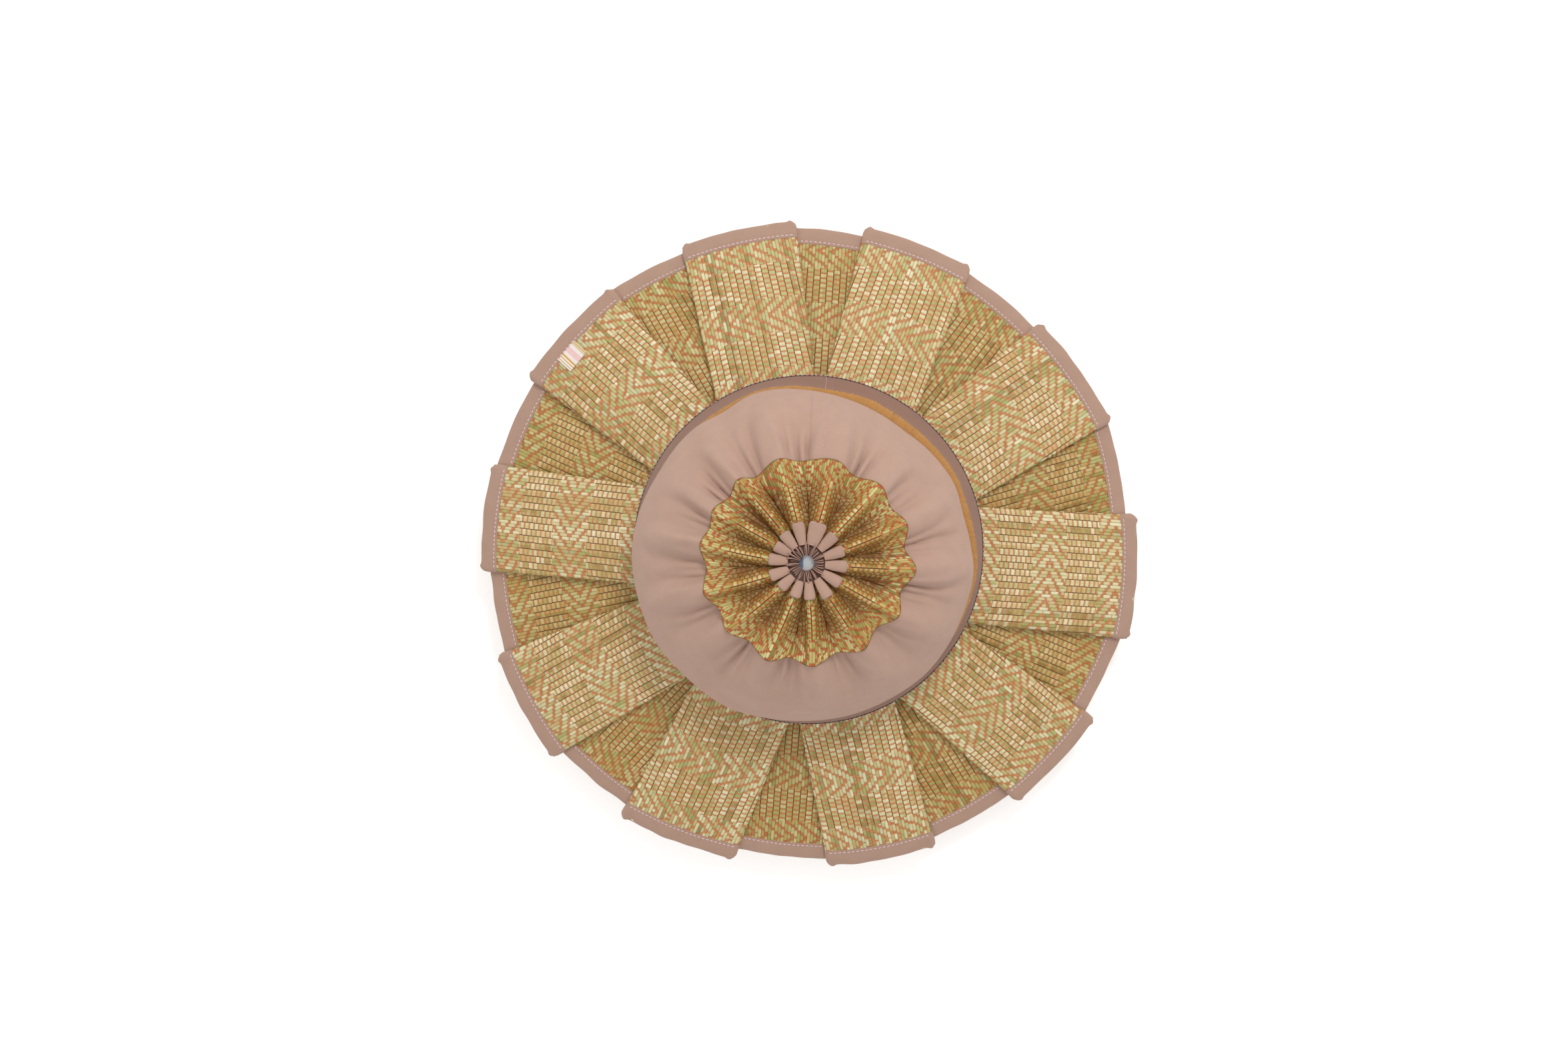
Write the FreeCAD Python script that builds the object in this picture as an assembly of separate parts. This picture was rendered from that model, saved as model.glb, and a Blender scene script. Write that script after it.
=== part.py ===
import FreeCAD, Part
import math
import os

# Folding sun hat of woven reed mat: a box-pleated brim, a cotton crown band and a gathered,
# pleated crown top. Millimetres, +Z up, origin on the resting plane below the crown's centre.

# ---- driving dimensions ----------------------------------------------------------------

brim_outer_r = 180.0        # edge of the mat, before its cotton tape
brim_inner_r = 97.0         # edge of the mat beside the crown
brim_slope_deg = 18.0       # fall of the brim from the crown to its rim

mat_t = 1.4                 # woven mat, one layer
recess_low = 0.65           # underside of the lower layer above the resting cone
return_low = 4.5            # underside of the tucked return
return_t = 1.1
raised_low = 6.1            # underside of the raised panel
raised_high = raised_low + mat_t
fold_t = 1.7                # thickness of the rolled fold at each side of a raised panel
fold_fillet = 1.2

tuck_inner = 13.0           # width of mat tucked under a raised panel, at the crown
tuck_outer = 3.4            # the same at the rim
overlap_inner = 11.5        # how far the recessed panel runs under a raised one, at the crown
overlap_outer = 3.0         # the same at the rim

tape_w = 8.2                # cotton binding tape over the rim
tape_t = 0.65
tape_reach = 1.2            # tape outside the mat's edge
rim_r = brim_outer_r + tape_reach

# Raised panels, counter-clockwise: azimuth in degrees where each one starts and ends beside
# the crown, then where it starts and ends at the rim. The pleats are folded by hand, so no
# two are the same width.
raised_panels = [
    (88.0, 121.5, 92.5, 113.0),
    (52.5, 84.0, 60.0, 80.0),
    (17.0, 49.5, 22.5, 44.0),
    (-24.5, 14.0, -16.5, 5.5),
    (-58.0, -27.5, -51.0, -31.0),
    (-92.5, -60.5, -86.5, -67.0),
    (-130.5, -96.5, -125.0, -103.5),
    (-163.5, -133.5, -160.5, -140.0),
    (-201.0, -169.0, -194.5, -175.5),
    (-236.0, -207.0, -232.5, -211.0),
]

stand_outer_r = 95.0        # cotton stand between brim and band
stand_inner_r = 93.6
stand_low_z = 24.0
stand_high_z = 60.0

sweatband_outer_r = 93.2
sweatband_inner_r = 92.0
sweatband_low_z = 25.0
sweatband_high_z = 57.0

welt_outer_r = 96.2         # mustard overcast tape between stand and band
welt_inner_r = 92.4
welt_low_z = 60.4
welt_high_z = 63.2

band_t = 1.2                # cotton twill band
band_low_z = 63.6
band_high_z = 110.2
band_low_r = 94.6
band_high_r = 58.6
band_belly = 5.0            # outward bulge halfway up
crown_pleats = 14
scallop_depth = 3.2         # in-and-out of the band's top edge, which follows the pleats

crown_rim_r = 57.6          # outer edge of the pleated crown mat
crown_rim_z = 108.4
crown_eye_r = 21.4          # its inner edge, at the rosette
crown_eye_z = 117.2
crown_rim_scallop = 2.6
pleat_depth_rim = 2.4       # half of ridge to valley
pleat_depth_mid = 3.6
pleat_depth_eye = 2.6

rosette_outer_r = 20.8      # cotton binding over the gathered inner edge
rosette_inner_r = 12.6
rosette_t = 2.6
rosette_depth = 2.0
rosette_rise = 1.2
gather_outer_r = 12.1       # crushed cotton inside the rosette
gather_inner_r = 5.6
gather_depth = 1.0
gather_t = 1.8
eye_ring_r = 4.7            # drawn gathering thread round the centre hole
eye_thread_r = 0.55
eye_disc_r = 7.0            # flat disc that closes the gathered eye from inside
eye_disc_t = 0.9
eye_disc_edge = 0.3

label_width = 14.0
label_length = 8.6
label_t = 0.35
label_azimuth = 141.0
label_outer_r = 172.2
label_gap = 0.45

slope = math.tan(math.radians(brim_slope_deg))


# ---- helpers ---------------------------------------------------------------------------

def polar(azimuth, radius, shift=0.0, z=0.0):
    """Point at an azimuth and radius, moved `shift` counter-clockwise along the tangent."""
    a = math.radians(azimuth)
    x = radius * math.cos(a) - shift * math.sin(a)
    y = radius * math.sin(a) + shift * math.cos(a)
    return FreeCAD.Vector(x, y, z)


def cone_z(radius):
    """Height of the resting cone, which touches the floor at the rim."""
    return (rim_r - radius) * slope


def brim_shell(low, high, r_in=brim_inner_r, r_out=brim_outer_r):
    """Full conical ring between two heights above the resting cone."""
    corners = [
        FreeCAD.Vector(r_in, 0, cone_z(r_in) + low),
        FreeCAD.Vector(r_out, 0, cone_z(r_out) + low),
        FreeCAD.Vector(r_out, 0, cone_z(r_out) + high),
        FreeCAD.Vector(r_in, 0, cone_z(r_in) + high),
    ]
    face = Part.Face(Part.makePolygon(corners + corners[:1]))
    return face.revolve(FreeCAD.Vector(0, 0, 0), FreeCAD.Vector(0, 0, 1), 360)


def plan_prism(right, left):
    """Upright prism between two radial sides; a side is (az_in, az_out, shift_in, shift_out)."""
    points = []
    for az_in, az_out, shift_in, shift_out in (right, left):
        inner = polar(az_in, brim_inner_r, shift_in, -20.0)
        outer = polar(az_out, brim_outer_r, shift_out, -20.0)
        run = outer - inner
        points.append((inner - run * 0.12, outer + run * 0.12))
    loop = [points[0][0], points[0][1], points[1][1], points[1][0], points[0][0]]
    return Part.Face(Part.makePolygon(loop)).extrude(FreeCAD.Vector(0, 0, 100.0))


def ring(r_in, r_out, z_low, z_high):
    """Plain upright ring."""
    height = z_high - z_low
    outer = Part.makeCylinder(r_out, height, FreeCAD.Vector(0, 0, z_low))
    return outer.cut(Part.makeCylinder(r_in, height, FreeCAD.Vector(0, 0, z_low)))


def waved_wire(radius, z, radial_wave, height_wave, lobes):
    """Closed smooth curve round the axis with `lobes` ripples in radius and in height."""
    points = []
    count = lobes * 6
    for k in range(count):
        phase = math.cos(2 * math.pi * lobes * k / count)
        r = radius + radial_wave * phase
        points.append(polar(360.0 * k / count, r, 0.0, z + height_wave * phase))
    curve = Part.BSplineCurve()
    curve.interpolate(points, PeriodicFlag=True)
    return Part.Wire([curve.toShape()])


def waved_ring(sections, lift, inset=0.0):
    """Closed rippled sheet; sections are (radius, z, radial_wave, height_wave) in order.

    The outer face is the sections raised by `lift`, the inner face is them moved in by `inset`.
    """
    outer = [waved_wire(r, z + lift, rw, hw, crown_pleats) for r, z, rw, hw in sections]
    inner = [waved_wire(r - inset, z, rw, hw, crown_pleats) for r, z, rw, hw in reversed(sections)]
    loops = outer + inner + outer[:1]
    faces = []
    for first, second in zip(loops[:-1], loops[1:]):
        faces.extend(Part.makeRuledSurface(first, second).Faces)
    shell = Part.makeShell(faces)
    shell.sewShape()
    solid = Part.makeSolid(Part.Shell(shell.Faces))
    if solid.Volume < 0:
        solid.reverse()
    return solid


def save(shape, name):
    shape.exportStep("parts/" + name + ".step")


# ---- brim ------------------------------------------------------------------------------

def raised_panel(start_in, end_in, start_out, end_out):
    """One raised pleat: top layer, two rolled folds and the two returns tucked beneath it."""
    right = (start_in, start_out, 0.0, 0.0)
    left = (end_in, end_out, 0.0, 0.0)
    body = brim_shell(raised_low, raised_high).common(plan_prism(right, left))
    folds = brim_shell(return_low, raised_high)
    returns = brim_shell(return_low, return_low + return_t)
    for side, inward in ((right, 1.0), (left, -1.0)):
        az_in, az_out = side[0], side[1]
        fold_side = (az_in, az_out, inward * fold_t, inward * fold_t)
        tuck_side = (az_in, az_out, inward * tuck_inner, inward * tuck_outer)
        body = body.fuse(folds.common(plan_prism(side, fold_side)))
        body = body.fuse(returns.common(plan_prism(side, tuck_side)))
    body = body.removeSplitter()
    fold_edges = [e for e in body.Edges if on_side(e, right) or on_side(e, left)]
    return body.makeFillet(fold_fillet, fold_edges).Solids[0]


def on_side(edge, side):
    """True for the long outer edges that lie in one side plane of a raised panel."""
    inner = polar(side[0], brim_inner_r)
    run = polar(side[1], brim_outer_r) - inner
    if edge.Length < 0.8 * run.Length:
        return False
    mid = edge.valueAt(0.5 * (edge.FirstParameter + edge.LastParameter))
    offset = FreeCAD.Vector(mid.x - inner.x, mid.y - inner.y, 0).cross(run)
    return offset.Length / run.Length < 0.01


def recessed_panel(start_in, end_in, start_out, end_out):
    """Flat lower panel; its sides run on underneath the raised panels beside it."""
    right = (start_in, start_out, -overlap_inner, -overlap_outer)
    left = (end_in, end_out, overlap_inner, overlap_outer)
    layer = brim_shell(recess_low, recess_low + mat_t)
    return layer.common(plan_prism(right, left)).Solids[0]


def rim_tape(panel, low, high, right, left):
    """Cotton tape folded over the rim of one panel."""
    inner_r = brim_outer_r - tape_w + tape_reach
    block = brim_shell(low - tape_t, high + tape_t, inner_r, rim_r)
    return block.common(plan_prism(right, left)).cut(panel).Solids[0]


for number, extents in enumerate(raised_panels, start=1):
    start_in, end_in, start_out, end_out = extents
    next_start_in, next_end_in, next_start_out, next_end_out = raised_panels[number - 2]
    panel = raised_panel(start_in, end_in, start_out, end_out)
    right = (start_in, start_out, -tape_t, -tape_t)
    left = (end_in, end_out, tape_t, tape_t)
    tape = rim_tape(panel, return_low, raised_high, right, left)
    save(panel, "raised_panel_%02d" % number)
    save(tape, "raised_rim_tape_%02d" % number)

    # The recess after this panel ends where the neighbour counter-clockwise of it starts.
    turn = 360.0 if next_start_in < start_in else 0.0
    gap_end_in = next_start_in + turn
    gap_end_out = next_start_out + turn
    recess = recessed_panel(end_in, gap_end_in, end_out, gap_end_out)
    right = (end_in, end_out, -overlap_inner, -overlap_outer)
    left = (gap_end_in, gap_end_out, overlap_inner, overlap_outer)
    tape = rim_tape(recess, recess_low, recess_low + mat_t, right, left)
    save(recess, "recessed_panel_%02d" % number)
    save(tape, "recessed_rim_tape_%02d" % number)


# ---- woven label caught under the rim tape of the tenth raised panel ---------------------

label_low = cone_z(label_outer_r) + raised_high + label_gap
label_corner = FreeCAD.Vector(-label_length, -label_width / 2, 0)
label = Part.makeBox(label_length, label_width, label_t, label_corner)
label.rotate(FreeCAD.Vector(0, 0, 0), FreeCAD.Vector(0, 1, 0), brim_slope_deg)
label.translate(FreeCAD.Vector(label_outer_r, 0, label_low))
label.rotate(FreeCAD.Vector(0, 0, 0), FreeCAD.Vector(0, 0, 1), label_azimuth)
save(label, "woven_label")


# ---- crown wall ------------------------------------------------------------------------

save(ring(stand_inner_r, stand_outer_r, stand_low_z, stand_high_z), "crown_stand")
save(ring(sweatband_inner_r, sweatband_outer_r, sweatband_low_z, sweatband_high_z), "sweatband")

welt = ring(welt_inner_r, welt_outer_r, welt_low_z, welt_high_z)
outer_edges = [e for e in welt.Edges if abs(e.BoundBox.XMax - welt_outer_r) < 0.01 and e.Closed]
save(welt.makeFillet(1.0, outer_edges), "crown_welt_tape")


band_sections = []
band_steps = 5
for k in range(band_steps + 1):
    t = k / band_steps
    radius = band_low_r + (band_high_r - band_low_r) * t + band_belly * 4 * t * (1 - t)
    z = band_low_z + (band_high_z - band_low_z) * t
    band_sections.append((radius, z, scallop_depth * t * t, pleat_depth_rim * t ** 3))
save(waved_ring(band_sections, 0.0, band_t), "crown_band")


# ---- crown top -------------------------------------------------------------------------

def crown_height(radius):
    """Dome line of the crown top, from its rim up to the eye."""
    t = (crown_rim_r - radius) / (crown_rim_r - crown_eye_r)
    return crown_rim_z + (crown_eye_z - crown_rim_z) * math.sin(t * math.pi / 2)


crown_mid_r = 0.5 * (crown_rim_r + crown_eye_r)
crown_sections = [
    (crown_rim_r, crown_rim_z + pleat_depth_rim, crown_rim_scallop, pleat_depth_rim),
    (crown_mid_r, crown_height(crown_mid_r) + pleat_depth_rim, 0.0, pleat_depth_mid),
    (crown_eye_r, crown_eye_z + pleat_depth_rim, 0.0, pleat_depth_eye),
]
save(waved_ring(crown_sections, mat_t), "crown_mat")

rosette_z = crown_eye_z + pleat_depth_rim
rosette_sections = [
    (rosette_outer_r, rosette_z, 0.0, rosette_depth),
    (rosette_inner_r, rosette_z + rosette_rise, 0.0, rosette_depth),
]
save(waved_ring(rosette_sections, rosette_t), "crown_rosette_binding")

gather_sections = [
    (gather_outer_r, rosette_z + 0.4, 0.0, gather_depth),
    (gather_inner_r, rosette_z - 1.2, 0.0, gather_depth * 0.4),
]
save(waved_ring(gather_sections, gather_t), "crown_gathered_edge")

eye_z = rosette_z - 0.3
save(Part.makeTorus(eye_ring_r, eye_thread_r, FreeCAD.Vector(0, 0, eye_z)), "crown_drawn_thread")

disc_z = rosette_z - 2.0 - eye_disc_t
disc = Part.makeCylinder(eye_disc_r, eye_disc_t, FreeCAD.Vector(0, 0, disc_z))
disc_rims = [e for e in disc.Edges if e.Closed]
save(disc.makeFillet(eye_disc_edge, disc_rims), "crown_eye_disc")
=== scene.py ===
import math

import bpy
import numpy as np
from mathutils import Matrix, Vector


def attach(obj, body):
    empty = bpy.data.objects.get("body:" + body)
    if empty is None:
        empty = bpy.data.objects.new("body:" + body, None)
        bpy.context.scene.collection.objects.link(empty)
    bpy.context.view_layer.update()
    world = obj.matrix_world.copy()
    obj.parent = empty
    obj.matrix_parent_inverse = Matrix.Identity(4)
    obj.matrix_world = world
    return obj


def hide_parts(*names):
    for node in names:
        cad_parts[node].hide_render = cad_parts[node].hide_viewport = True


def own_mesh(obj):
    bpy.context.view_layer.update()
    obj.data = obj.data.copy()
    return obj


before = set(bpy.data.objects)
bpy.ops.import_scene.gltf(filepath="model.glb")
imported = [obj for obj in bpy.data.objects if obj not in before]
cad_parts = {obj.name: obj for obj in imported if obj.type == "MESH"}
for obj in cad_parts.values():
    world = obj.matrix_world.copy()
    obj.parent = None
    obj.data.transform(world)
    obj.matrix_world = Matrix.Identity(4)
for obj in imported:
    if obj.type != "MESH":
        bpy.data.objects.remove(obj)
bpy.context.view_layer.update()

# Folding sun hat of woven reed mat. Shapes are worked out in millimetres, +Z up, with the hat's
# axis on Z, and turned into metres when a mesh is made.

TAU = 2 * math.pi

# ---- mat -------------------------------------------------------------------------------
SLOPE = math.radians(18.0)
COS, SIN, TAN = math.cos(SLOPE), math.sin(SLOPE), math.tan(SLOPE)
RIM_R = 181.2
REED = 1.82           # width of one reed
THREAD = 1.42         # pitch of the orange threads
MAT_T = 1.1           # thickness of the mat
SEAM_R = 95.3         # where the brim mat meets the crown stand
PATTERN = 28          # threads in one repeat of the weave
CHEVRON = 7           # half of the threads that make a chevron
BRIM_PHASE = 20.5     # where the repeat starts at the rim, in threads
CROWN_PHASE = 24.5
RAISED_H = 6.85       # height of the raised and the recessed panels over the brim's cone
RECESS_H = 1.35
FOLD_RIM, FOLD_SEAM = 1.35, 0.95       # radius of the rolled folds at the rim and at the seam
FOLD_IN_R, FOLD_OUT_R = 97.0, 180.0    # radii at which the fold lines' azimuths below are taken
TAPE_WIDTH = 18.0     # before it is folded over the edge
STITCH_V = 6.9        # distance of the stitch line from the mat's edge
STITCH_STEP, STITCH_RUN = 2.4, 1.75
LABEL_PANEL, LABEL_AZ = 10, 141.0
LABEL_WIDTH, LABEL_RUN = 14.0, 10.1    # along the rim, and inward from the tape

# start and end azimuth at the crown, start and end azimuth at the rim, edge radius at both ends
RAISED = [
    (88.0, 121.5, 92.5, 113.0, 178.6, 179.4),
    (52.5, 84.0, 60.0, 80.0, 177.0, 178.0),
    (17.0, 49.5, 22.5, 44.0, 179.6, 176.7),
    (-24.5, 14.0, -16.5, 5.5, 183.7, 180.7),
    (-58.0, -27.5, -51.0, -31.0, 182.9, 184.8),
    (-92.5, -60.5, -86.5, -67.0, 178.1, 181.1),
    (-130.5, -96.5, -125.0, -103.5, 182.9, 178.9),
    (-163.5, -133.5, -160.5, -140.0, 182.9, 185.1),
    (-201.0, -169.0, -194.5, -175.5, 180.3, 181.7),
    (-236.0, -207.0, -232.5, -211.0, 179.2, 180.2),
]
RECESS_RIM = [
    (175.7, 178.2), (173.4, 175.7), (173.1, 174.2), (175.6, 178.2), (178.6, 179.7),
    (176.8, 177.9), (173.8, 174.9), (179.2, 176.8), (177.1, 179.3), (176.8, 177.9),
]

# ---- crown -----------------------------------------------------------------------------
# radius of the band's foot and of the stand's top by azimuth in degrees, as seen from above
BAND_R = [
    (-180, 95.2), (-165, 94.8), (-150, 95.2), (-135, 93.6), (-117, 94.0), (-105, 91.8),
    (-90, 90.4), (-60, 90.0), (-45, 91.0), (-30, 90.2), (-20, 89.8), (-5, 90.4), (0, 88.6),
    (15, 86.2), (25, 88.0),
    (45, 85.6), (51, 84.4), (60, 85.0), (75, 86.4), (90, 88.6), (100, 90.8), (110, 91.6),
    (121, 88.6), (130, 91.4), (140, 91.8), (150, 91.4), (165, 93.8), (180, 95.2),
]
STAND_R = [
    (-180, 92.2), (-150, 92.2), (-60, 88.8), (-20, 90.0), (-5, 91.4), (0, 90.6), (17, 88.9),
    (30, 90.0), (40, 88.9), (50, 88.4), (60, 88.5), (68, 89.5), (78, 88.6), (85, 88.9), (95, 90.4),
    (105, 91.8), (121, 90.2), (140, 90.6), (180, 92.2),
]
# crown pleats, counter-clockwise: ridge azimuth and radius at the rim, then valley after it
PLEATS = [
    (-163, 56.8, -151, 52.9), (-139, 55.8, -126, 52.2), (-112, 56.2, -100, 51.9),
    (-87, 55.4, -72, 51.0), (-57, 55.4, -44, 50.9), (-30, 56.4, -18, 52.2), (-4, 57.8, 8, 52.2),
    (21, 56.7, 33, 52.9), (46, 56.4, 61, 51.9), (74, 56.1, 94, 53.2), (105, 56.4, 121, 52.2),
    (130, 56.7, 140, 53.4), (151, 56.6, 160.5, 54.4), (170, 57.0, 184, 53.2),
]
# rosette flaps, counter-clockwise: azimuth, outer radius
FLAPS = [
    (-160, 20.3), (-136, 18.9), (-109, 18.9), (-84, 19.3), (-57, 21.2), (-31, 20.7), (-5, 21.3),
    (19, 20.7), (45, 21.0), (73, 22.3), (102, 22.0), (127, 20.0), (150, 18.9), (174, 20.0),
]


def cone_z(r):
    return (RIM_R - r) * TAN


def smooth(x):
    x = np.clip(x, 0.0, 1.0)
    return x * x * (3 - 2 * x)


def ring_table(table, phi):
    """Smooth periodic value of a table of (degrees, value) at the angles phi in degrees."""
    a = np.array([p[0] for p in table], float)
    b = np.array([p[1] for p in table], float)
    fine = np.arange(-180, 180, 1.0)
    line = np.interp(fine, a, b, period=360)
    kernel = np.exp(-0.5 * (np.arange(-9, 10) / 3.0) ** 2)
    kernel /= kernel.sum()
    line = np.convolve(np.concatenate([line[-9:], line, line[:9]]), kernel, "valid")
    return np.interp(phi, fine, line, period=360)


def soft_noise(x, y, seed, terms=7):
    """Smooth noise between about -1 and 1, as a sum of plane waves."""
    rng = np.random.default_rng(seed)
    total = np.zeros(np.broadcast(x, y).shape)
    for _ in range(terms):
        turn, size, phase = rng.uniform(0, TAU), rng.uniform(0.6, 1.6), rng.uniform(0, TAU)
        total = total + np.sin(size * (np.cos(turn) * x + np.sin(turn) * y) + phase)
    return total / math.sqrt(terms) * 0.8


# ---- meshes ----------------------------------------------------------------------------

def signed_volume(verts, quads):
    a, b, c, d = (verts[quads[:, k]] for k in range(4))
    return (np.einsum("ij,ij->", a, np.cross(b, c)) + np.einsum("ij,ij->", a, np.cross(c, d))) / 6


def index_grid(*sizes):
    """Flat index arrays that run through a grid of these sizes."""
    return [m.ravel() for m in np.indices(sizes)]


def sheet_mesh(top, bottom, uv, uv_left=None, wrap=False):
    """Closed sheet from its two faces, grids of the same size. Returns vertices, quads, loop uv."""
    rows, cols = top.shape[:2]
    left = uv if uv_left is None else uv_left
    half = rows * cols
    span = cols if wrap else cols - 1
    r, c = index_grid(rows - 1, span)
    n = (c + 1) % cols
    upper = np.stack([r * cols + c, r * cols + n, (r + 1) * cols + n, (r + 1) * cols + c], 1)
    upper_uv = np.stack([uv[r, c], left[r, c + 1], left[r + 1, c + 1], uv[r + 1, c]], 1)
    quads, uvs = [upper, upper[:, ::-1] + half], [upper_uv, upper_uv[:, ::-1]]

    def close(a, b, uv_a, uv_b, turn):
        quads.append(np.stack([a, b, half + b, half + a], 1)[:, ::turn])
        uvs.append(np.stack([uv_a, uv_b, uv_b, uv_a], 1)[:, ::turn])

    c = np.arange(span)
    n = (c + 1) % cols
    for row, turn in ((0, 1), (rows - 1, -1)):
        close(row * cols + c, row * cols + n, uv[row, c], left[row, c + 1], turn)
    if not wrap:
        r = np.arange(rows - 1)
        for col, turn in ((0, 1), (cols - 1, -1)):
            close(r * cols + col, (r + 1) * cols + col, uv[r, col], uv[r + 1, col], turn)
    verts = np.concatenate([top.reshape(-1, 3), bottom.reshape(-1, 3)])
    return verts, np.concatenate(quads), np.concatenate(uvs)


def tube_mesh(points, length=0.0, girth=0.0):
    """Closed ring of tube: the grid's rows run round the tube and its columns along the ring."""
    rows, cols = points.shape[:2]
    k, c = index_grid(rows, cols)
    k2, c2 = (k + 1) % rows, (c + 1) % cols
    quads = np.stack([k * cols + c, k * cols + c2, k2 * cols + c2, k2 * cols + c], 1)
    mm_u, mm_v = length / cols, girth / rows
    corners = ((c, k), (c + 1, k), (c + 1, k + 1), (c, k + 1))
    uvs = np.stack([np.stack([a * mm_u, b * mm_v], -1) for a, b in corners], 1)
    return points.reshape(-1, 3), quads, uvs


def join(parts):
    """Several (verts, quads, uvs) as one."""
    verts, quads, uvs, count = [], [], [], 0
    for v, q, u in parts:
        verts.append(v)
        quads.append(q + count)
        uvs.append(u)
        count += len(v)
    return np.concatenate(verts), np.concatenate(quads), np.concatenate(uvs)


def piece(name, data, material, body, replaces=(), shade=None):
    """A mesh object of the hat from (verts, quads, uvs) in millimetres."""
    verts, quads, uvs = data
    if signed_volume(verts, quads) < 0:
        quads, uvs = quads[:, ::-1], uvs[:, ::-1]
    mesh = bpy.data.meshes.new(name)
    mesh.vertices.add(len(verts))
    mesh.vertices.foreach_set("co", (verts * 0.001).astype(np.float32).ravel())
    mesh.loops.add(quads.size)
    mesh.loops.foreach_set("vertex_index", quads.astype(np.int32).ravel())
    mesh.polygons.add(len(quads))
    mesh.polygons.foreach_set("loop_start", np.arange(0, quads.size, 4, dtype=np.int32))
    mesh.update(calc_edges=True)
    mesh.polygons.foreach_set("use_smooth", np.ones(len(quads), bool))
    layer = mesh.uv_layers.new(name="weave")
    layer.data.foreach_set("uv", uvs.astype(np.float32).ravel())
    if shade is not None:
        field = mesh.attributes.new("shade", "FLOAT", "POINT")
        field.data.foreach_set("value", np.asarray(shade, np.float32).ravel())
    mesh.materials.append(material)
    obj = bpy.data.objects.new(name, mesh)
    bpy.context.scene.collection.objects.link(obj)
    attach(obj, body)
    if replaces:
        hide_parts(*replaces)
    return obj


# share of a stitch's length, share of its radius, share of its lift
STITCH_STATIONS = (
    (0.0, 0.35, -0.9), (0.08, 0.8, -0.2), (0.3, 1.0, 0.8),
    (0.7, 1.0, 0.8), (0.92, 0.8, -0.2), (1.0, 0.35, -0.9),
)


def stitches(a, b, up, radius=0.24, lift=0.22, sides=6):
    """Short threads from points a to b, arched a little along up."""
    a, b, up = (np.asarray(x, float) for x in (a, b, up))
    run = b - a
    length = np.linalg.norm(run, axis=1, keepdims=True)
    along = run / length
    across = np.cross(along, up)
    across /= np.linalg.norm(across, axis=1, keepdims=True)
    upward = np.cross(across, along)
    turns = np.arange(sides) * TAU / sides
    rings = []
    for t, size, rise in STITCH_STATIONS:
        centre = a + run * t + upward * (lift * rise)
        ring = [centre + (across * math.cos(s) + upward * math.sin(s)) * radius * size for s in turns]
        rings.append(np.stack(ring, 1))
    body = np.stack(rings, 1)                      # stitch, station, side, xyz
    count, levels = body.shape[:2]
    verts = body.reshape(-1, 3)
    s, k, j = index_grid(count, levels - 1, sides)
    base, j2 = s * levels * sides + k * sides, (j + 1) % sides
    quads = [np.stack([base + j, base + sides + j, base + sides + j2, base + j2], 1)]
    first = np.arange(count) * levels * sides
    last = first + (levels - 1) * sides
    ends = ((first, (0, 1, 2, 3)), (first, (0, 3, 4, 5)), (last, (3, 2, 1, 0)), (last, (5, 4, 3, 0)))
    quads += [np.stack([f + o for o in order], 1) for f, order in ends]
    quads = np.concatenate(quads)
    uvs = np.zeros((len(quads), 4, 2))
    return verts, quads, uvs


def grid_normals(points, wrap=False):
    """Unit normals of a grid of points, by differences along its rows and columns."""
    if wrap:
        wide = np.concatenate([points[:, -1:], points, points[:, :1]], 1)
        dc = (wide[:, 2:] - wide[:, :-2]) * 0.5
    else:
        dc = np.gradient(points, axis=1)
    dr = np.gradient(points, axis=0)
    normal = np.cross(dc, dr)
    return normal / np.maximum(np.linalg.norm(normal, axis=2, keepdims=True), 1e-12)


# ---- weave -----------------------------------------------------------------------------

def weave_relief(u, v):
    """Height of the woven surface, mm, at reed units u and thread units v."""
    i = np.floor(u + 1e-4)
    w = np.abs((v - 0.5 + PATTERN / 2) % PATTERN - PATTERN / 2)
    gap_slant = np.abs((i + w) % 4 - 2.5)
    gap_slant = np.minimum(gap_slant, 4 - gap_slant)
    gap_plain = np.abs((np.floor(i / 2) + v - 0.5) % 2 - 1)
    arch = np.sqrt(np.clip(1 - (2 * (u - i) - 1) ** 2, 0, 1))
    arch_pair = np.sqrt(np.clip(1 - (2 * ((u / 2) % 1) - 1) ** 2, 0, 1))
    slant = (arch - 1) * 0.20 + 0.20 * smooth((gap_slant - 0.4) / 0.6)
    plain = (arch_pair - 1) * 0.32 + 0.22 * smooth((gap_plain - 0.1) / 0.5)
    return np.where(w < CHEVRON, slant, plain) - 0.04


def unit(degrees):
    """Plan direction of an azimuth."""
    return np.array([math.cos(math.radians(degrees)), math.sin(math.radians(degrees))])


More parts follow.
